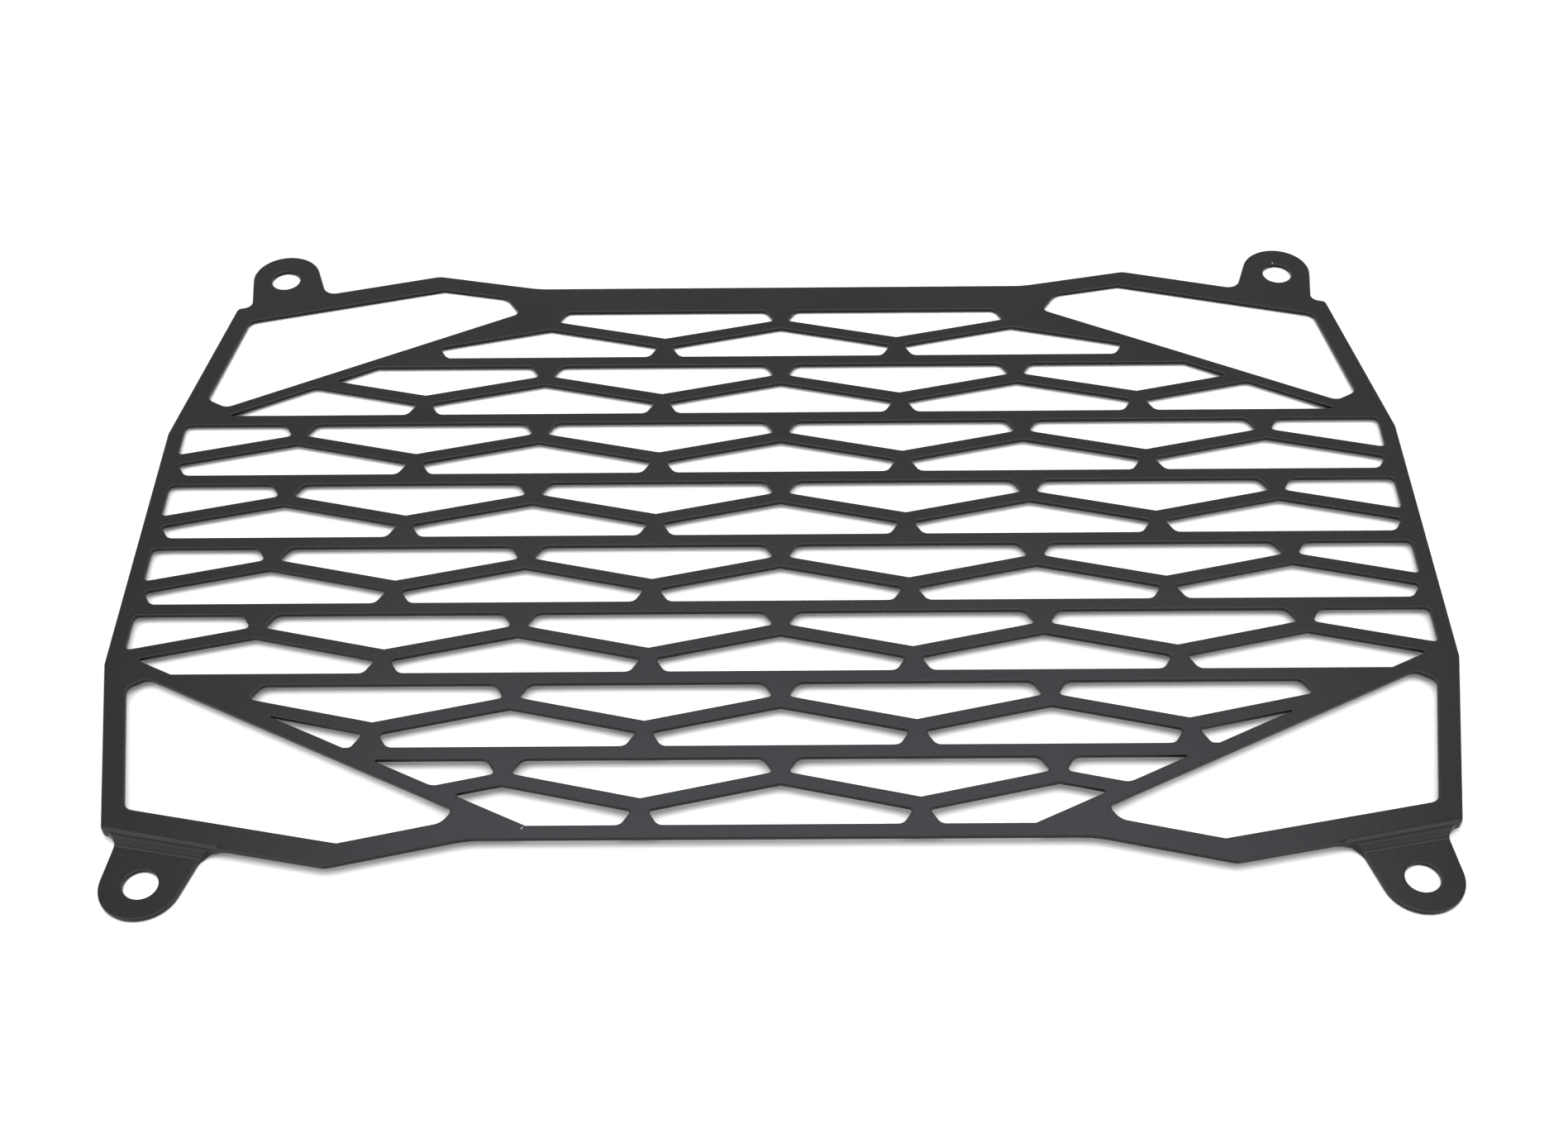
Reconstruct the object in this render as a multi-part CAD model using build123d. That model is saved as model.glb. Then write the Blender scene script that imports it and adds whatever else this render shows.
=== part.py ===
from build123d import *
import math
import os

# Radiator guard for a motorcycle: one laser-cut sheet with a zigzag lattice, a braced window in each
# corner and four bolt ears. The lower pair of ears steps down from the panel by a two-bend joggle.
# Millimetres and degrees. The origin is the middle of the outline, on the seat of the lower ears. X runs
# across the guard, Y from its lower edge to its upper edge and Z out of its front face.

# Sheet
SHEET = 1.0

# Lattice: rows of zigzag bars between level bars, with a flared neck where a zigzag meets a level bar
PITCH_X = 56.0
PITCH_Y = 20.1
BAR = 3.2
ZIGZAG_RISE = 6.8
NECK = 3.0
FLARE_ANGLE = 60.0
CELL_CORNER = 1.1

# Openings over and under the zigzag in each row, from the upper edge down
CELLS_OVER = (2, 4, 6, 6, 6, 6, 4, 4)
CELLS_UNDER = (3, 5, 5, 5, 5, 5, 5, 3)

# Rows that the slanting braces cut into, at each end
UPPER_BRACED_ROWS = 2
LOWER_BRACED_ROWS = 3
BRACE = 3.0

# Outline: where the rim bends, measured from the lattice
UPPER_BAR = 9.0
UPPER_KINK_PAST_NECK = 4.0
UPPER_PEAK_PAST_CELL = 1.3
UPPER_PEAK_HEIGHT = 5.2
UPPER_CORNER_RISE = 0.55
LOWER_KINK_PAST_NECK = 5.8
LOWER_PEAK_PAST_CELL = 4.8
LOWER_PEAK_HEIGHT = 6.55
LOWER_CORNER_RISE = 1.1
SIDE_PAST_CELL = 2.6
SHOULDER_INSET = 4.5
CORNER_INSET = 8.6
KINK_R = 20.0
PEAK_R = 4.0
SHOULDER_R = 4.0
CORNER_R = 1.2

# Rim widths
SIDE_RIM = 3.6
WINDOW_SIDE_RIM = 4.6
UPPER_END_RIM = 5.6
UPPER_KINK_RIM = 4.9
LOWER_END_RIM = 5.9
LOWER_KINK_RIM = 5.15

# Windows: the brace runs from a heel beside the kink to a toe beside the shoulder
UPPER_HEEL_PAST_KINK = 4.1
UPPER_HEEL_DEPTH = 9.3
UPPER_TOE_INSET = 11.9
UPPER_TOE_PAST_SHOULDER = 9.1
LOWER_HEEL_PAST_KINK = 3.2
LOWER_HEEL_DEPTH = 7.4
LOWER_TOE_INSET = 10.0
LOWER_TOE_PAST_SHOULDER = 3.9
HEEL_ANGLE = 58.0
TOE_ANGLE = 31.0
WINDOW_CORNER = 1.5

# Bolt ears
BOLT_HOLE_R = 3.5
EAR_R = 8.2
UPPER_EAR_SHOULDER = 2.1
UPPER_EAR_REACH = 12.45
UPPER_BOLT_INSET = 1.0
LOWER_EAR_SHOULDER = 1.2
LOWER_EAR_REACH = 10.4
EAR_INNER_LEAN = 18.0
EAR_OUTER_LEAN = 7.5
EAR_INNER_FILLET = 3.0
EAR_OUTER_FILLET = 2.0

# Joggle of the lower ears: its upper bend starts inside the rim and runs out to the edge past each ear
JOGGLE_DROP = 2.4
JOGGLE_ANGLE = 60.0
JOGGLE_INSET = 1.1
JOGGLE_RUN_OUT = 3.0
BEND_R = 1.0

# Rounding of corners: the most of a side that it takes, the most of an edge that is free beside an ear,
# and the turn below which a corner stays sharp
ROUNDING_SHARE = 0.45
FREE_EDGE_SHARE = 0.9
SHALLOW_TURN = 35.0

# Places that follow from the sizes above
rows = len(CELLS_OVER)
field_x = (max(CELLS_OVER) - 1) / 2 * PITCH_X
field_y = rows / 2 * PITCH_Y
side_x = field_x + SIDE_PAST_CELL
shoulder_y = CELLS_OVER.count(max(CELLS_OVER)) / 2 * PITCH_Y - SHOULDER_INSET
corner_x = side_x - CORNER_INSET
side_lean = CORNER_INSET / (field_y - shoulder_y)
upper_edge = field_y - BAR / 2 + UPPER_BAR
lower_edge = -field_y - BAR / 2

upper_kink = (PITCH_X + UPPER_KINK_PAST_NECK, upper_edge)
upper_peak = (1.5 * PITCH_X + UPPER_PEAK_PAST_CELL, upper_edge + UPPER_PEAK_HEIGHT)
upper_corner = (corner_x - UPPER_CORNER_RISE * side_lean, field_y + UPPER_CORNER_RISE)
upper_shoulder = (side_x, shoulder_y)
lower_shoulder = (side_x, -shoulder_y)
lower_corner = (corner_x + LOWER_CORNER_RISE * side_lean, -field_y + LOWER_CORNER_RISE)
lower_peak = (1.5 * PITCH_X + LOWER_PEAK_PAST_CELL, lower_edge - LOWER_PEAK_HEIGHT)
lower_kink = (PITCH_X + LOWER_KINK_PAST_NECK, lower_edge)

upper_heel = (upper_kink[0] + UPPER_HEEL_PAST_KINK, upper_edge - UPPER_HEEL_DEPTH)
upper_toe = (side_x - UPPER_TOE_INSET, shoulder_y + UPPER_TOE_PAST_SHOULDER)
lower_heel = (lower_kink[0] + LOWER_HEEL_PAST_KINK, lower_edge + LOWER_HEEL_DEPTH)
lower_toe = (side_x - LOWER_TOE_INSET, -shoulder_y - LOWER_TOE_PAST_SHOULDER)

upper_end = (corner_x - UPPER_EAR_SHOULDER - EAR_R, field_y + UPPER_EAR_REACH)
lower_end = (corner_x - LOWER_EAR_SHOULDER - EAR_R, -field_y - LOWER_EAR_REACH)
upper_bolt = (upper_end[0], upper_end[1] - UPPER_BOLT_INSET)
lower_bolt = lower_end
middle_y = (upper_end[1] + lower_end[1]) / 2
panel_top = JOGGLE_DROP + SHEET
far = 2 * (side_x + upper_edge)


def plane_at(angle, point):
    """A half plane as (nx, ny, reach): its border passes through point, and it faces along angle."""
    nx = math.cos(math.radians(angle))
    ny = math.sin(math.radians(angle))
    return nx, ny, nx * point[0] + ny * point[1]


def plane_along(a, b, inset=0.0):
    """The half plane to the left of the line from a to b, drawn back by inset."""
    angle = math.degrees(math.atan2(b[1] - a[1], b[0] - a[0])) - 90
    nx, ny, reach = plane_at(angle, a)
    return nx, ny, reach - inset


def trimmed(points, plane):
    """The part of a convex outline that lies inside a half plane."""
    nx, ny, reach = plane
    kept = []
    for a, b in zip(points, points[1:] + points[:1]):
        room_a = reach - nx * a[0] - ny * a[1]
        room_b = reach - nx * b[0] - ny * b[1]
        if room_a >= 0:
            kept.append(a)
        if room_a * room_b < 0:
            share = room_a / (room_a - room_b)
            kept.append((a[0] + share * (b[0] - a[0]), a[1] + share * (b[1] - a[1])))
    return kept


def meeting(first, second):
    """The point where the borders of two half planes cross."""
    det = first[0] * second[1] - first[1] * second[0]
    x = (first[2] * second[1] - first[1] * second[2]) / det
    y = (first[0] * second[2] - first[2] * second[0]) / det
    return x, y


def fillet_run(radius, first, second):
    """How far a fillet between the borders of two half planes reaches along each of them."""
    turn = Vector(first[0], first[1]).get_angle(Vector(second[0], second[1]))
    return radius * math.tan(math.radians(turn / 2))


def corner_radius(before, corner, after, length):
    """The radius that rounds a corner over a length of each side, or over less on a short side.

    A shallow corner stays sharp.
    """
    sides = [math.dist(before, corner), math.dist(corner, after)]
    heading = Vector(*corner) - Vector(*before)
    turn = heading.get_angle(Vector(*after) - Vector(*corner))
    if turn < SHALLOW_TURN:
        return 0
    return min(length, ROUNDING_SHARE * min(sides)) / math.tan(math.radians(turn) / 2)


def common(planes):
    """The convex outline of the ground that half planes share, cut from a square wider than the guard."""
    points = [(-far, -far), (far, -far), (far, far), (-far, far)]
    for plane in planes:
        points = trimmed(points, plane)
    return points


def opening(planes, corner):
    """A convex opening bounded by half planes, with its corners rounded; none where they leave no room."""
    points = common(planes)
    if not points:
        return []
    beside = zip(points[-1:] + points[:-1], points, points[1:] + points[:1])
    radii = [corner_radius(*three, corner) for three in beside]
    return [make_face(FilletPolyline(*points, radius=radii, close=True))]


def flipped(plane):
    """A half plane mirrored from the right side to the left."""
    nx, ny, reach = plane
    return -nx, ny, reach


def cell(x, y, up):
    """Half planes of one lattice opening: over the zigzag (up is 1) or under it (up is -1)."""
    slope = math.atan2(ZIGZAG_RISE, PITCH_X / 2)
    level = (x, y + up * (PITCH_Y - BAR) / 2)
    point = (x, y - up * (ZIGZAG_RISE / 2 - BAR / 2 / math.cos(slope)))
    right_bar = plane_at(up * (math.degrees(slope) - 90), point)
    left_bar = plane_at(up * (-90 - math.degrees(slope)), point)
    half_width = (PITCH_X - NECK) / 2
    neck_y = point[1] + up * half_width * math.tan(slope)
    right_flare = plane_at(up * (90 - FLARE_ANGLE), (x + half_width, neck_y))
    left_flare = plane_at(up * (90 + FLARE_ANGLE), (x - half_width, neck_y))
    return [plane_at(up * 90, level), right_bar, left_bar, right_flare, left_flare]


def row_limits(row):
    """Half planes that trim a row's openings: the side rims, and the braces where they reach."""
    limits = [plane_at(0, (side_x - SIDE_RIM, 0))]
    if row < UPPER_BRACED_ROWS:
        limits.append(plane_along(upper_toe, upper_heel, BRACE))
    if row >= rows - LOWER_BRACED_ROWS:
        limits.append(plane_along(lower_heel, lower_toe, BRACE))
    return limits + [flipped(plane) for plane in limits]


def lattice():
    """All openings over and under the zigzags."""
    faces = []
    for row in range(rows):
        y = (rows - 1) / 2 * PITCH_Y - row * PITCH_Y
        limits = row_limits(row)
        for count, up in ((CELLS_OVER[row], 1), (CELLS_UNDER[row], -1)):
            for column in range(count):
                x = (column - (count - 1) / 2) * PITCH_X
                faces += opening(cell(x, y, up) + limits, CELL_CORNER)
    return faces


def both_sides(face):
    """A face on the right side and its mirror image on the left."""
    return [face, mirror(face, about=Plane.YZ)]


def windows():
    """The four corner windows, between the braces and the rim."""
    upper = [
        plane_along(upper_peak, upper_kink, UPPER_KINK_RIM),
        plane_along(upper_corner, upper_peak, UPPER_END_RIM),
        plane_along(upper_shoulder, upper_corner, WINDOW_SIDE_RIM),
        plane_along(upper_heel, upper_toe),
        plane_at(90 + HEEL_ANGLE, upper_heel),
        plane_at(TOE_ANGLE - 90, upper_toe),
    ]
    lower = [
        plane_along(lower_kink, lower_peak, LOWER_KINK_RIM),
        plane_along(lower_peak, lower_corner, LOWER_END_RIM),
        plane_along(lower_corner, lower_shoulder, WINDOW_SIDE_RIM),
        plane_along(lower_toe, lower_heel),
        plane_at(-90 - HEEL_ANGLE, lower_heel),
        plane_at(90 - TOE_ANGLE, lower_toe),
    ]
    faces = opening(upper, WINDOW_CORNER) + opening(lower, WINDOW_CORNER)
    return [side for face in faces for side in both_sides(face)]


def panel():
    """The panel's outline without its ears."""
    right = [upper_kink, upper_peak, upper_corner, upper_shoulder]
    right += [lower_shoulder, lower_corner, lower_peak, lower_kink]
    left = [(-x, y) for x, y in reversed(right)]
    radii = [KINK_R, PEAK_R, CORNER_R, SHOULDER_R, SHOULDER_R, CORNER_R, PEAK_R, KINK_R]
    return make_face(FilletPolyline(*right, *left, radius=radii + radii[::-1], close=True))


def ear_sides(end, up):
    """Half planes of a right-hand ear's inner and outer sides, both tangent to its round end."""
    inner = plane_at(up * (180 - EAR_INNER_LEAN), end)
    outer = plane_at(up * -EAR_OUTER_LEAN, end)
    return [(nx, ny, reach + EAR_R) for nx, ny, reach in (inner, outer)]


def ear_roots(end, up, edge):
    """Where an ear's inner and outer sides meet the panel's edge."""
    return [meeting(side, edge) for side in ear_sides(end, up)]


def ear(end, up, edge):
    """A right-hand ear with its root sunk into the rim."""
    ends = [(end[0] + EAR_R * nx, end[1] + EAR_R * ny) for nx, ny, _ in ear_sides(end, up)]
    tip = (end[0], end[1] + up * EAR_R)
    sunk_edge = (edge[0], edge[1], edge[2] - UPPER_END_RIM / 2)
    inner_root, outer_root = ear_roots(end, up, sunk_edge)
    round_end = ThreePointArc(ends[0], tip, ends[1])
    sides = Polyline(ends[1], outer_root, inner_root, ends[0])
    return make_face([round_end, sides])


def outer_fillet(place, panel_side):
    """The fillet beside an ear's outer side, limited by the edge that the panel's corner leaves free."""
    edge = place[2]
    corner = meeting(edge, panel_side)
    free_edge = math.dist(ear_roots(*place)[1], corner) - fillet_run(CORNER_R, edge, panel_side)
    return min(EAR_OUTER_FILLET, FREE_EDGE_SHARE * free_edge / fillet_run(1, edge, ear_sides(*place[:2])[1]))


def outline():
    """The panel with its four ears, and fillets where the ears grow out of it."""
    plan = panel()
    upper = (upper_end, 1, plane_along(upper_corner, upper_peak))
    lower = (lower_end, -1, plane_along(lower_peak, lower_corner))
    for place in (upper, lower):
        plan += both_sides(ear(*place))
    upper_side = plane_along(upper_shoulder, upper_corner)
    lower_side = plane_along(lower_corner, lower_shoulder)
    for place, panel_side in ((upper, upper_side), (lower, lower_side)):
        inner_root, outer_root = ear_roots(*place)
        fillets = ((inner_root, EAR_INNER_FILLET), (outer_root, outer_fillet(place, panel_side)))
        for (x, y), radius in fillets:
            for side in (1, -1):
                vertex = plan.vertices().sort_by_distance((side * x, y))[0]
                plan = fillet(vertex, radius)
    return plan


def bolt_holes():
    """The four bolt holes."""
    return [Pos(side * x, y) * Circle(BOLT_HOLE_R) for x, y in (upper_bolt, lower_bolt) for side in (1, -1)]


def joggle_section():
    """The stepped sheet in section, with its flat root sunk into the panel.

    x runs outward from the start of the upper bend, and y is height.
    """
    half_turn = math.tan(math.radians(JOGGLE_ANGLE / 2))
    shift = SHEET / 2 * half_turn
    upper_bend = (BEND_R + SHEET) * half_turn - shift
    lower_bend = upper_bend + JOGGLE_DROP / math.tan(math.radians(JOGGLE_ANGLE))
    length = JOGGLE_INSET + LOWER_EAR_REACH + 2 * EAR_R
    profile = [
        (-SHEET, panel_top),
        (upper_bend + shift, panel_top),
        (lower_bend + shift, SHEET),
        (length, SHEET),
        (length, 0),
        (lower_bend - shift, 0),
        (upper_bend - shift, JOGGLE_DROP),
        (-SHEET, JOGGLE_DROP),
    ]
    radii = [0, BEND_R + SHEET, BEND_R, 0, 0, BEND_R + SHEET, BEND_R, 0]
    return make_face(FilletPolyline(*profile, radius=radii, close=True))


def joggle():
    """The stepped sheet of the right-hand lower ear, and the ground that it takes from the flat panel.

    The section runs straight across the ear. Past the ear's inner fillet it slants out to the rim's edge.
    """
    edge = plane_along(lower_peak, lower_corner)
    inner_side = ear_sides(lower_end, -1)[0]
    outward = Vector(edge[0], edge[1])
    inward = outward.cross(Vector(0, 0, 1))
    run = fillet_run(EAR_INNER_FILLET, inner_side, edge)
    bend_end = Vector(*meeting(inner_side, edge)) + inward * run - outward * JOGGLE_INSET
    run_out = inward * JOGGLE_RUN_OUT + outward * JOGGLE_INSET
    section = Plane(origin=bend_end, x_dir=outward, z_dir=inward) * joggle_section()
    width = run + 2 * (EAR_R + LOWER_EAR_REACH)
    step = extrude(section, amount=-width) + extrude(section, amount=run_out.length, dir=run_out)
    bend_line = plane_along(tuple(bend_end - inward), tuple(bend_end))
    run_out_line = plane_along(tuple(bend_end), tuple(bend_end + run_out))
    return step, make_face(Polyline(*common([bend_line, run_out_line]), close=True))


def radiator_guard():
    """The flat blank, stepped down at the lower ears and set on the origin."""
    plan = outline() - lattice() - windows() - bolt_holes()
    step, step_ground = joggle()
    flat_ground = Rectangle(2 * far, 2 * far) - both_sides(step_ground)
    flat = extrude(Pos(0, 0, JOGGLE_DROP) * flat_ground, SHEET)
    blank = flat + step + mirror(step, about=Plane.YZ)
    return Pos(0, -middle_y, 0) * (extrude(plan, panel_top) & blank)


os.makedirs("parts", exist_ok=True)
export_step(radiator_guard(), "parts/radiator_guard.step")
print("upper bolt spacing", round(2 * upper_bolt[0], 3))
print("lower bolt spacing", round(2 * lower_bolt[0], 3))
print("bolt lines at y", round(upper_bolt[1] - middle_y, 3), round(lower_bolt[1] - middle_y, 3))
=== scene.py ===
"""Looks of a radiator guard: a cut, bent and powder-coated steel sheet lying on a white studio floor."""

import math

import bpy
import numpy as np
from mathutils import Matrix, Vector


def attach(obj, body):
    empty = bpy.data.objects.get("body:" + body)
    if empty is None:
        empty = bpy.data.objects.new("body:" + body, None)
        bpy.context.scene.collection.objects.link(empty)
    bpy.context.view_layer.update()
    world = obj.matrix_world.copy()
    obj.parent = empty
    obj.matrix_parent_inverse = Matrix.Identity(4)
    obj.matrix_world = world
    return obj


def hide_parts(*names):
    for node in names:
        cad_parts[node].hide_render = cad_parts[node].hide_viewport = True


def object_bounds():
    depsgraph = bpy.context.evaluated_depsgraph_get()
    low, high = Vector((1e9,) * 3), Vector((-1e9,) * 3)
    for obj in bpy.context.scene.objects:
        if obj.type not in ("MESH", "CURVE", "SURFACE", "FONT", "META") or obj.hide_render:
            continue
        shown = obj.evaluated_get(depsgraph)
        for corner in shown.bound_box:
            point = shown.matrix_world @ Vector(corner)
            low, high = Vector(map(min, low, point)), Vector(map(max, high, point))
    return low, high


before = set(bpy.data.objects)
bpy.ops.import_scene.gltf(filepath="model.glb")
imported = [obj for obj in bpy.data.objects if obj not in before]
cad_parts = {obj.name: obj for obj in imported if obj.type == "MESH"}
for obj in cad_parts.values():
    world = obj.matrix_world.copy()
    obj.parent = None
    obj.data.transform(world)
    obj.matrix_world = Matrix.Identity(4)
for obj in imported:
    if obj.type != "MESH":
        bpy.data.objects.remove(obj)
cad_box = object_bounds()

# Metres in a millimetre, the unit of the sizes and places below, and the height of the panel's front face
MM = 0.001
SHEET_TOP = cad_box[1].z / MM

# Points of the CAD mesh that lie closer than this are one
MERGE = 0.0001

# How upright a triangle's normal is, from 0 to 1: above the first value it belongs to a face of the sheet,
# not to a cut wall, and above the second to a level face, not to a bend
FACE_UPRIGHT = 0.3
LEVEL_UPRIGHT = 0.999

# How much a level face outweighs a bend where they meet
LEVEL_WEIGHT = 1000.0

# Rounding of the cut arrises by deburring and coating: its reach onto the face and onto the wall, its steps,
# how often it may be halved, and the cosine of the most that it may tip a triangle
ARRIS_ON_FACE = 0.35
ARRIS_ON_WALL = 0.15
ARRIS_STEPS = 4
ARRIS_TRIES = 12
MOST_TIP_COSINE = 0.93

# Patterns of the powder coat: their sizes and heights, how finely they break up, and the range that grain
# and mottle have when they are added up
GRAIN = 0.45
GRAIN_HEIGHT = 0.007
GRAIN_DETAIL = 2.0
GRAIN_HARSHNESS = 0.6
ORANGE_PEEL = 1.6
PEEL_HEIGHT = 0.012
PEEL_DETAIL = 1.0
MOTTLE = 34.0
MOTTLE_DETAIL = 3.0
SHADE_RANGE = (0.6, 1.4)

# Dust nibs in the coat: spacing, radius, the share of it that is not faded, and how bright a cell's random
# colour has to be for it to hold a nib
NIB_SPACING = 7.0
NIB_R = 0.16
NIB_CORE = 0.5
NIB_RARITY = 0.65

# Colours of the powder coat, a painted shade on the cut walls, a painted highlight over the arrises and how
# strong it is, and the coat's gloss
COAT_DARK = "#111212"
COAT_LIGHT = "#171818"
# Painted shade: the colour that the cut walls are darkened towards
PAINTED_WALL_SHADE = "#060606"
# Painted highlight: the colour that the arrises are paled towards, and how far
PAINTED_ARRIS_HIGHLIGHT = "#4A4B4C"
ARRIS_HIGHLIGHT_SHARE = 0.14
COAT_NIB = "#57595A"
PRIMER = "#9A9C9D"
COAT_SPECULAR = 0.17
COAT_ROUGHNESS = (0.22, 0.30)

# Two places where the coat is knocked off: middle, half width, half length and turn from +Y in degrees, and
# the shares of their reach between which the edge fades
NICK = ((-51.0, -80.5, SHEET_TOP), 0.13, 0.45, -30.0)
FLECK = ((123.2, 94.9, SHEET_TOP), 0.15, 0.40, 10.0)
KNOCK_EDGE = (1.1, 0.7)

# Camera: place, the point of the sheet that it aims at, roll in degrees, and lens
CAMERA_PLACE = (3.64, -349.26, 357.16)
CAMERA_AIM = (0.73, -11.61, SHEET_TOP)
CAMERA_ROLL = -0.728
CAMERA_LENS = 51.47
SENSOR_WIDTH = 36.0

# Lamps, which all aim at the middle of the guard, and the sky
LAMP_AIM = (0.0, 0.0, 0.0)
KEY_PLACE = (0.0, -240.0, 1200.0)
KEY_SIZE = (1900.0, 1000.0)
KEY_WATTS = 20.0
KEY_COLOUR = "#FFFFFF"
SOFTBOX_PLACE = (25.0, 1066.0, 1809.0)
SOFTBOX_SIZE = (1230.0, 770.0)
SOFTBOX_WATTS = 12.2
SOFTBOX_COLOUR = "#ECF3FF"
FILL_PLACE = (1150.0, -1640.0, 560.0)
FILL_SIZE = (1300.0, 1150.0)
FILL_WATTS = 12.5
FILL_COLOUR = "#F2F6FF"
SKY_COLOUR = "#FFFAF4"
SKY_LIGHT = 0.20

# Floor: half its width, its gap under the guard, its colour, and its own white where it is seen, which grows
# from a little lift inside the lit radius to plain white outside the white radius
FLOOR_HALF = 4000.0
FLOOR_GAP = 0.02
FLOOR_COLOUR = "#FDFDFB"
FLOOR_LIFT = 0.06
LIT_R = 350.0
WHITE_R = 1200.0
WHITE = "#FFFFFF"

# Sockets of a colour mix, by number, because its other kinds of mix have sockets of the same names
MIX_FIRST = 6
MIX_SECOND = 7
MIX_RESULT = 2


def linear(hex_colour):
    """Linear RGBA of an sRGB hex colour."""
    shares = [int(hex_colour[k:k + 2], 16) / 255 for k in (1, 3, 5)]
    return [s / 12.92 if s <= 0.04045 else ((s + 0.055) / 1.055) ** 2.4 for s in shares] + [1.0]


def add_node(tree, kind, inputs, **settings):
    """Adds a node with its own settings, and fills its inputs with values or links from other nodes."""
    node = tree.nodes.new(kind)
    for name, value in settings.items():
        setattr(node, name, value)
    for name, value in inputs.items():
        if isinstance(value, bpy.types.NodeSocket):
            tree.links.new(value, node.inputs[name])
        else:
            node.inputs[name].default_value = value
    return node


def new_material(name):
    """An empty node material."""
    material = bpy.data.materials.new(name)
    material.use_nodes = True
    material.node_tree.nodes.clear()
    return material


def new_object(name, points, faces, material):
    """A mesh object at the origin with its place in its mesh."""
    mesh = bpy.data.meshes.new(name)
    mesh.from_pydata(points, [], faces)
    mesh.materials.append(material)
    item = bpy.data.objects.new(name, mesh)
    bpy.context.scene.collection.objects.link(item)
    return item


def merged_triangles(node):
    """Points and triangles of a CAD node, with the points that its loose triangles share made one."""
    mesh = node.data
    corners = np.empty(len(mesh.vertices) * 3)
    mesh.vertices.foreach_get("co", corners)
    mesh.calc_loop_triangles()
    triangles = np.empty(len(mesh.loop_triangles) * 3, dtype=np.int64)
    mesh.loop_triangles.foreach_get("vertices", triangles)
    grid = MERGE * MM
    points, place = np.unique(np.round(corners.reshape(-1, 3) / grid), axis=0, return_inverse=True)
    return points * grid, place.reshape(-1)[triangles].reshape(-1, 3)


def unit(vectors):
    """The vectors at length one."""
    return vectors / np.linalg.norm(vectors, axis=-1, keepdims=True)


def slanted(corners):
    """Vectors out of triangles, as long as twice their areas: the cross product of two sides."""
    return np.cross(corners[:, 1] - corners[:, 0], corners[:, 2] - corners[:, 0])


def gathered(vectors, places, count):
    """At each point, the sum of the vectors of all that meet there."""
    total = np.zeros((count, 3))
    np.add.at(total, places, vectors[:, None])
    return total


def mitred(directions, places, count):
    """At each point, the sum of two edges' unit directions, stretched until it reaches one along both."""
    total = gathered(directions, places, count)
    return 2 * total / np.sum(total ** 2, axis=1, keepdims=True)


def arris_edges(triangles, is_face, count):
    """The edges where a face meets a wall: their starts, ends, face triangles and wall triangles.

    A triangle's side from a to b is numbered a * count + b. The triangle across it has the side from b to a.
    """
    start = triangles.reshape(-1)
    end = np.roll(triangles, -1, axis=1).reshape(-1)
    owner = np.repeat(np.arange(len(triangles)), 3)
    number = start * count + end
    order = np.argsort(number)
    across = owner[order[np.searchsorted(number[order], end * count + start)]]
    on_arris = is_face[owner] & ~is_face[across]
    return [row[on_arris] for row in (start, end, owner, across)]


def drawn_back(points, triangles, normals, is_face, ring, inset):
    """The arris points of the ring drawn back by their inset, for each step of the round.

    The inset is halved, again and again, at the corners of a narrow triangle that it would tip too far.
    """
    place = np.full(len(points), -1)
    place[ring] = np.arange(len(ring))
    scale = np.full((len(ring), 1), MM)
    face_points, wall_points = points.copy(), points.copy()
    for _ in range(ARRIS_TRIES):
        rounds = points[ring] - scale * inset
        face_points[ring], wall_points[ring] = rounds[0], rounds[-1]
        corners = np.where(is_face[:, None, None], face_points[triangles], wall_points[triangles])
        slants = slanted(corners)
        tipped = np.sum(slants * normals, axis=1) < MOST_TIP_COSINE * np.linalg.norm(slants, axis=1)
        tight = place[triangles[tipped]]
        scale[tight[tight >= 0]] /= 2
    return rounds


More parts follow.
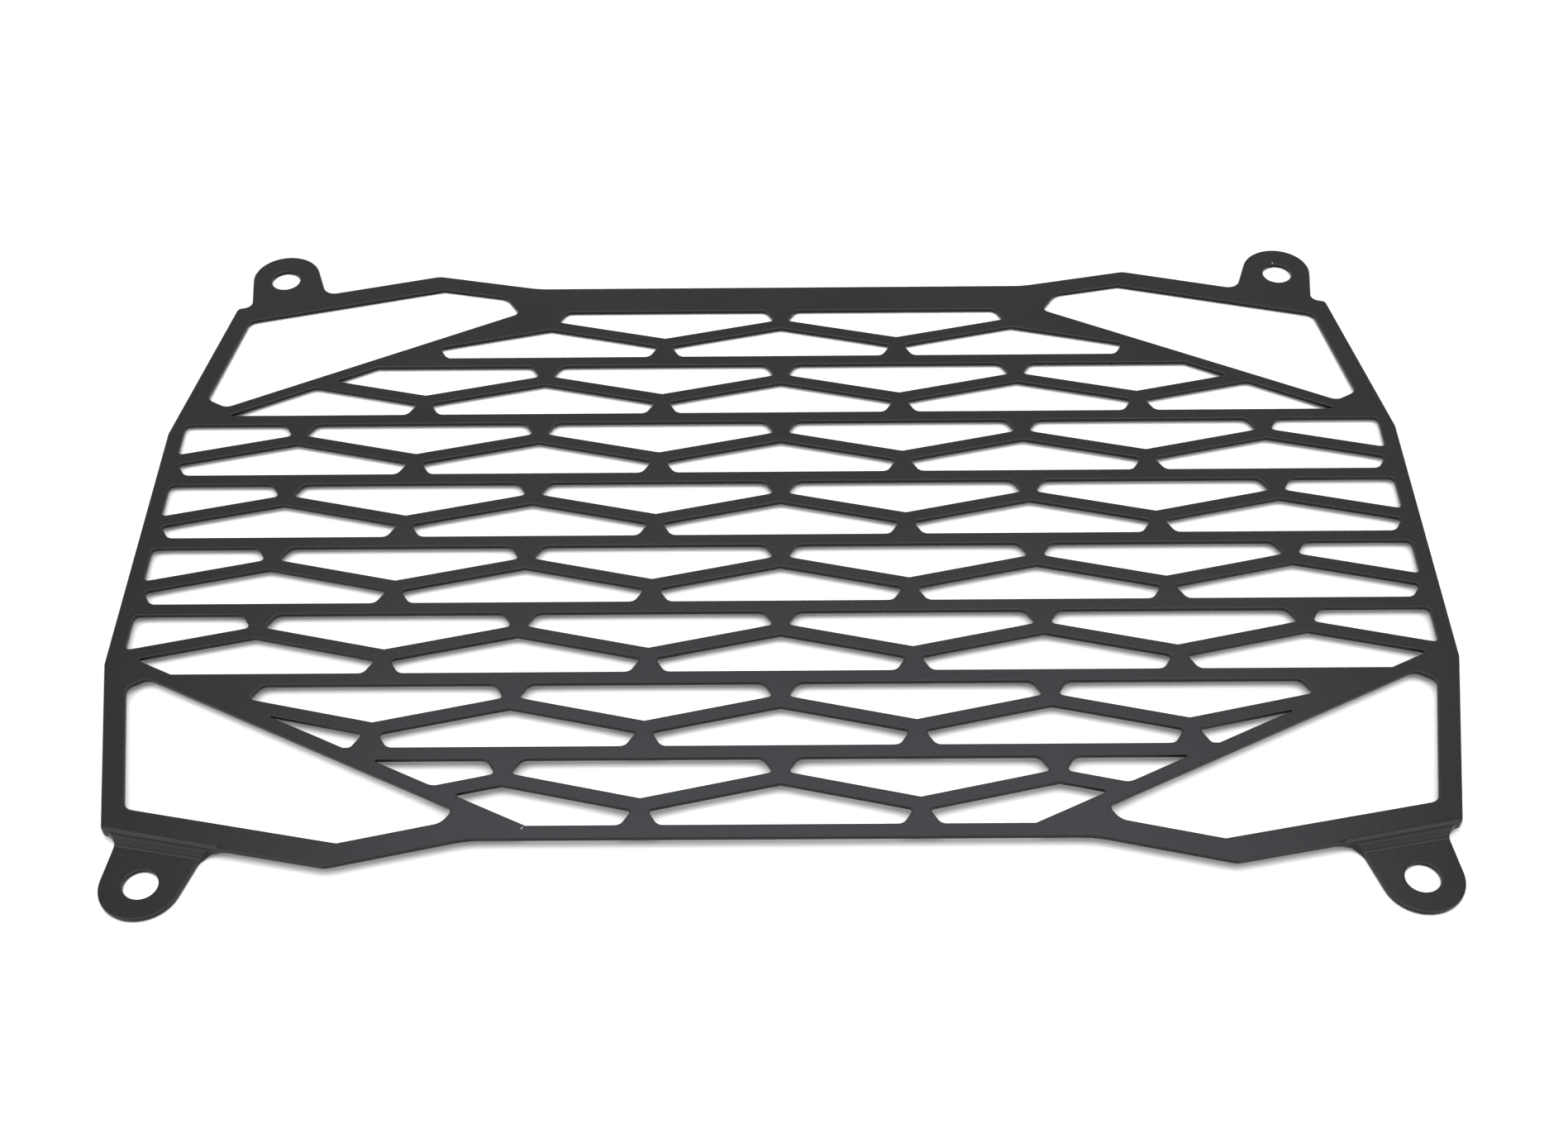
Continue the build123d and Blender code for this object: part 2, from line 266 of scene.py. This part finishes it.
def rounded_sheet(points, triangles):
    """The sheet with a quarter of an ellipse carried along each of its cut arrises.

    A triangle belongs to a face of the sheet where its normal is upright enough, and else to a cut wall. An
    arris runs where the two meet. At an arris point p, with w out of the wall and n out of the face, the
    round is p - a * w * (1 - sin t) - b * n * (1 - cos t), with t from 0 on the face to 90 degrees on the
    wall, a the reach onto the face and b the reach onto the wall. Its normal is
    a * n * cos t + b * w * sin t. Level faces and walls are shaded flat. On the bends the normals of the
    triangles that meet at a point are added up by area, and a level face outweighs the others.
    Gives points, triangles, the quads of the rounds, the turn at each point, which is t over 90 degrees, 0
    on the faces and 1 on the walls, and the normals at the corners of the triangles and then of the quads.
    """
    count = len(points)
    slants = slanted(points[triangles])
    normals = unit(slants)
    upright = np.abs(normals[:, 2])
    is_face = upright > FACE_UPRIGHT
    is_bend = is_face & (upright < LEVEL_UPRIGHT)
    start, end, face_side, wall_side = arris_edges(triangles, is_face, count)
    ring = np.unique(start)
    width = len(ring)
    ends = np.searchsorted(ring, np.stack([start, end], axis=1))

    # The rounds
    outward = mitred(normals[wall_side], ends, width)
    upward = mitred(normals[face_side], ends, width)
    turn = np.linspace(0, math.pi / 2, ARRIS_STEPS + 1)[:, None, None]
    inset = ARRIS_ON_FACE * outward * (1 - np.sin(turn)) + ARRIS_ON_WALL * upward * (1 - np.cos(turn))
    rounds = drawn_back(points, triangles, normals, is_face, ring, inset)

    # Normals
    weights = np.where(is_bend, 1.0, LEVEL_WEIGHT)[:, None]
    face_sums = gathered((slants * weights)[is_face], triangles[is_face], count)
    skin_normals = np.repeat(normals[:, None], 3, axis=1)
    skin_normals[is_bend] = unit(face_sums[triangles[is_bend]])
    lengths = np.linalg.norm(points[end] - points[start], axis=1, keepdims=True)
    wall_normals = unit(gathered(normals[wall_side] * lengths, ends, width))
    face_share = ARRIS_ON_FACE * np.cos(turn) * unit(face_sums[ring])
    round_normals = unit(face_share + ARRIS_ON_WALL * np.sin(turn) * wall_normals)

    # The skin moved to the first and last rows of the rounds, with a strip of quads between
    on_face = np.arange(count)
    on_face[ring] = count + np.arange(width)
    on_wall = np.arange(count)
    on_wall[ring] = count + ARRIS_STEPS * width + np.arange(width)
    skin = np.where(is_face[:, None], on_face[triangles], on_wall[triangles])
    lift = width * np.arange(ARRIS_STEPS)[:, None]
    near, far = on_face[start] + lift, on_face[end] + lift
    strips = np.stack([far, near, near + width, far + width], axis=-1).reshape(-1, 4)
    strip_normals = round_normals.reshape(-1, 3)[strips - count]

    # One mesh of the points in use
    all_points = np.concatenate([points, rounds.reshape(-1, 3)])
    skin_turn = np.zeros(count)
    skin_turn[triangles[~is_face]] = 1
    all_turns = np.concatenate([skin_turn, np.repeat(np.linspace(0, 1, ARRIS_STEPS + 1), width)])
    used, name = np.unique(np.concatenate([skin.reshape(-1), strips.reshape(-1)]), return_inverse=True)
    name = name.reshape(-1)
    corner_normals = np.concatenate([skin_normals.reshape(-1, 3), strip_normals.reshape(-1, 3)])
    quads = name[skin.size:].reshape(-1, 4)
    return all_points[used], name[:skin.size].reshape(-1, 3), quads, all_turns[used], corner_normals


def painted_arris_highlight(tree, turn):
    """How far the painted highlight pales the coat over an arris: half a sine wave along the turn from the
    face to the wall.
    """
    angle = add_node(tree, "ShaderNodeMath", {0: turn, 1: math.pi}, operation="MULTIPLY").outputs["Value"]
    wave = add_node(tree, "ShaderNodeMath", {0: angle}, operation="SINE").outputs["Value"]
    pale = add_node(tree, "ShaderNodeMath", {0: wave, 1: ARRIS_HIGHLIGHT_SHARE}, operation="MULTIPLY")
    return pale.outputs["Value"]


def dust_nibs(tree, place):
    """One on a nib: a dot with a soft edge in the middle of some cells of an uneven pattern."""
    cells = add_node(tree, "ShaderNodeTexVoronoi", {"Vector": place, "Scale": 1 / (NIB_SPACING * MM)})
    reach = NIB_R / NIB_SPACING
    dots = add_node(tree, "ShaderNodeMapRange", {
        "Value": cells.outputs["Distance"], "From Min": reach, "From Max": NIB_CORE * reach})
    picked = add_node(tree, "ShaderNodeMath", {
        0: cells.outputs["Color"], 1: NIB_RARITY}, operation="GREATER_THAN")
    return add_node(tree, "ShaderNodeMath", {
        0: dots.outputs["Result"], 1: picked.outputs["Value"]}, operation="MULTIPLY").outputs["Value"]


def coat_loss(tree, place, spot):
    """One where the coat is gone: an oval around the spot, turned about Z, with a soft edge."""
    middle, half_width, half_length, turn = spot
    local = add_node(tree, "ShaderNodeMapping", {
        "Vector": place,
        "Location": [c * MM for c in middle],
        "Rotation": (0, 0, math.radians(turn)),
        "Scale": (half_width * MM, half_length * MM, half_length * MM),
    }, vector_type="TEXTURE")
    reach = add_node(tree, "ShaderNodeVectorMath", {0: local.outputs["Vector"]}, operation="LENGTH")
    return add_node(tree, "ShaderNodeMapRange", {
        "Value": reach.outputs["Value"], "From Min": KNOCK_EDGE[0], "From Max": KNOCK_EDGE[1],
    }).outputs["Result"]


def powder_coated_steel():
    """Sheet steel with a black polyester powder coat, baked on.

    To the eye it is a dark neutral grey with a satin-matte sheen. The melted grains leave a fine grit and a
    faint orange peel that break up the highlights. A painted highlight pales the colour over the arrises,
    and a painted shade darkens it on the cut walls. A few dust nibs and two knocks show as pale dots.
    """
    material = new_material("powder_coated_sheet_steel")
    tree = material.node_tree
    place = add_node(tree, "ShaderNodeTexCoord", {}).outputs["Object"]

    # The real grit is about 0.1 mm: drawn coarser here, so that it shows
    grain = add_node(tree, "ShaderNodeTexNoise", {
        "Vector": place, "Scale": 1 / (GRAIN * MM), "Detail": GRAIN_DETAIL, "Roughness": GRAIN_HARSHNESS,
    }).outputs["Fac"]
    peel = add_node(tree, "ShaderNodeTexNoise", {
        "Vector": place, "Scale": 1 / (ORANGE_PEEL * MM), "Detail": PEEL_DETAIL}).outputs["Fac"]
    mottle = add_node(tree, "ShaderNodeTexNoise", {
        "Vector": place, "Scale": 1 / (MOTTLE * MM), "Detail": MOTTLE_DETAIL}).outputs["Fac"]
    shade = add_node(tree, "ShaderNodeMath", {0: grain, 1: mottle}, operation="ADD").outputs["Value"]
    tone = add_node(tree, "ShaderNodeMapRange", {
        "Value": shade, "From Min": SHADE_RANGE[0], "From Max": SHADE_RANGE[1]}).outputs["Result"]
    roughness = add_node(tree, "ShaderNodeMapRange", {
        "Value": shade, "From Min": SHADE_RANGE[0], "From Max": SHADE_RANGE[1],
        "To Min": COAT_ROUGHNESS[0], "To Max": COAT_ROUGHNESS[1]}).outputs["Result"]

    # Each colour lies over the one before it where its share says
    turn = add_node(tree, "ShaderNodeAttribute", {}, attribute_name="turn").outputs["Fac"]
    nick, fleck = (coat_loss(tree, place, spot) for spot in (NICK, FLECK))
    bare = add_node(tree, "ShaderNodeMath", {0: nick, 1: fleck}, operation="MAXIMUM").outputs["Value"]
    colour = linear(COAT_DARK)
    layers = (
        (tone, COAT_LIGHT),
        # painted shade: darker across the arris, darkest on the cut wall
        (turn, PAINTED_WALL_SHADE),
        # painted highlight: paler across the arris
        (painted_arris_highlight(tree, turn), PAINTED_ARRIS_HIGHLIGHT),
        (dust_nibs(tree, place), COAT_NIB),
        (bare, PRIMER),
    )
    for share, layer in layers:
        colour = add_node(tree, "ShaderNodeMix", {
            "Factor": share, MIX_FIRST: colour, MIX_SECOND: linear(layer),
        }, data_type="RGBA").outputs[MIX_RESULT]

    peel_bump = add_node(tree, "ShaderNodeBump", {"Height": peel, "Distance": PEEL_HEIGHT * MM})
    bump = add_node(tree, "ShaderNodeBump", {
        "Height": grain, "Distance": GRAIN_HEIGHT * MM, "Normal": peel_bump.outputs["Normal"]})
    surface = add_node(tree, "ShaderNodeBsdfPrincipled", {
        "Base Color": colour, "Roughness": roughness, "Normal": bump.outputs["Normal"],
        "Specular IOR Level": COAT_SPECULAR})
    add_node(tree, "ShaderNodeOutputMaterial", {"Surface": surface.outputs["BSDF"]})
    return material


def seen_directly(tree):
    """One for camera, mirrored and transmitted rays, and zero for the rays that only carry light."""
    path = add_node(tree, "ShaderNodeLightPath", {})
    mirrored = add_node(tree, "ShaderNodeMath", {
        0: path.outputs["Is Glossy Ray"], 1: path.outputs["Is Transmission Ray"]}, operation="MAXIMUM")
    seen = add_node(tree, "ShaderNodeMath", {
        0: path.outputs["Is Camera Ray"], 1: mirrored.outputs["Value"]}, operation="MAXIMUM")
    return seen.outputs["Value"]


def white_paper():
    """Matt white studio paper.

    It takes the guard's shadow, and fades to plain white past the lamps' reach.
    """
    material = new_material("matt_white_paper")
    tree = material.node_tree
    place = add_node(tree, "ShaderNodeTexCoord", {}).outputs["Object"]
    reach = add_node(tree, "ShaderNodeVectorMath", {0: place}, operation="LENGTH").outputs["Value"]
    fade = add_node(tree, "ShaderNodeMapRange", {
        "Value": reach, "From Min": LIT_R * MM, "From Max": WHITE_R * MM,
        "To Min": FLOOR_LIFT, "To Max": 1.0}).outputs["Result"]
    lift = add_node(tree, "ShaderNodeMath", {0: seen_directly(tree), 1: fade}, operation="MULTIPLY")
    paper = add_node(tree, "ShaderNodeBsdfDiffuse", {"Color": linear(FLOOR_COLOUR)})
    glow = add_node(tree, "ShaderNodeEmission", {
        "Color": linear(WHITE), "Strength": lift.outputs["Value"]})
    both = add_node(tree, "ShaderNodeAddShader", {0: paper.outputs["BSDF"], 1: glow.outputs["Emission"]})
    add_node(tree, "ShaderNodeOutputMaterial", {"Surface": both.outputs["Shader"]})
    return material


def guard_piece(points, triangles):
    """The coated sheet in place of its CAD node: flat faces and walls, smooth bends and rounded arrises."""
    spots, skin, strips, turns, corner_normals = rounded_sheet(points, triangles)
    piece = new_object("coated_sheet", spots, skin.tolist() + strips.tolist(), powder_coated_steel())
    piece.data.polygons.foreach_set("use_smooth", np.ones(len(skin) + len(strips), dtype=bool))
    piece.data.normals_split_custom_set(corner_normals.tolist())
    turn = piece.data.attributes.new("turn", "FLOAT", "POINT")
    turn.data.foreach_set("value", turns.astype(np.float32))
    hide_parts("radiator_guard")
    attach(piece, "root")


def studio_floor(points):
    """The flat floor that the guard rests on: it touches the feet of the stepped ears and the far tips.

    The plane is z = slope * (y - foot) - gap, with the slope from the feet's height to the tips' height.
    """
    lowest = points[:, 2].min()
    foot = points[points[:, 2] < lowest + MERGE * MM, 1].max()
    tip = points[:, 1].max()
    tip_height = points[points[:, 1] > tip - MERGE * MM, 2].min()
    slope = (tip_height - lowest) / (tip - foot)
    x = FLOOR_HALF * MM * np.array([-1, 1, 1, -1])
    y = FLOOR_HALF * MM * np.array([-1, -1, 1, 1])
    z = lowest + slope * (y - foot) - FLOOR_GAP * MM
    floor = new_object("studio_floor", np.stack([x, y, z], axis=1), [(0, 1, 2, 3)], white_paper())


def aimed(place, aim, roll=0.0):
    """Matrix of a camera or lamp at a place, looking at a point, turned about its view by a roll."""
    start = Vector(place) * MM
    look = (Vector(aim) * MM - start).to_track_quat("-Z", "Y").to_matrix().to_4x4()
    return Matrix.Translation(start) @ look @ Matrix.Rotation(math.radians(roll), 4, "Z")


def panel_lamp(name, place, size, watts, colour):
    """A rectangular soft lamp."""
    light = bpy.data.lights.new(name, "AREA")
    light.shape = "RECTANGLE"
    light.size, light.size_y = (side * MM for side in size)
    light.energy = watts
    light.color = linear(colour)[:3]
    lamp = bpy.data.objects.new(name, light)
    lamp.matrix_world = aimed(place, LAMP_AIM)
    bpy.context.scene.collection.objects.link(lamp)


def studio_light():
    """A key lamp overhead, a softbox behind, a tall fill on each side in front, and an even sky.

    The sky is plain white where it is seen.
    """
    panel_lamp("key", KEY_PLACE, KEY_SIZE, KEY_WATTS, KEY_COLOUR)
    panel_lamp("softbox", SOFTBOX_PLACE, SOFTBOX_SIZE, SOFTBOX_WATTS, SOFTBOX_COLOUR)
    x, y, z = FILL_PLACE
    for name, side in (("fill_right", 1), ("fill_left", -1)):
        panel_lamp(name, (side * x, y, z), FILL_SIZE, FILL_WATTS, FILL_COLOUR)

    world = bpy.data.worlds.new("studio")
    world.use_nodes = True
    tree = world.node_tree
    tree.nodes.clear()
    light = add_node(tree, "ShaderNodeBackground", {"Color": linear(SKY_COLOUR), "Strength": SKY_LIGHT})
    plain = add_node(tree, "ShaderNodeBackground", {"Color": linear(WHITE), "Strength": 1.0})
    both = add_node(tree, "ShaderNodeMixShader", {
        0: seen_directly(tree), 1: light.outputs["Background"], 2: plain.outputs["Background"]})
    add_node(tree, "ShaderNodeOutputWorld", {"Surface": both.outputs["Shader"]})
    bpy.context.scene.world = world


def photo_camera():
    """The camera at the photograph's viewing angle."""
    lens = bpy.data.cameras.new("camera")
    lens.sensor_fit = "HORIZONTAL"
    lens.sensor_width = SENSOR_WIDTH
    lens.lens = CAMERA_LENS
    camera = bpy.data.objects.new("camera", lens)
    camera.matrix_world = aimed(CAMERA_PLACE, CAMERA_AIM, CAMERA_ROLL)
    bpy.context.scene.collection.objects.link(camera)
    bpy.context.scene.camera = camera


sheet_points, sheet_triangles = merged_triangles(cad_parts["radiator_guard"])
guard_piece(sheet_points, sheet_triangles)
studio_floor(sheet_points)
studio_light()
photo_camera()
bpy.context.scene.view_settings.view_transform = "Standard"
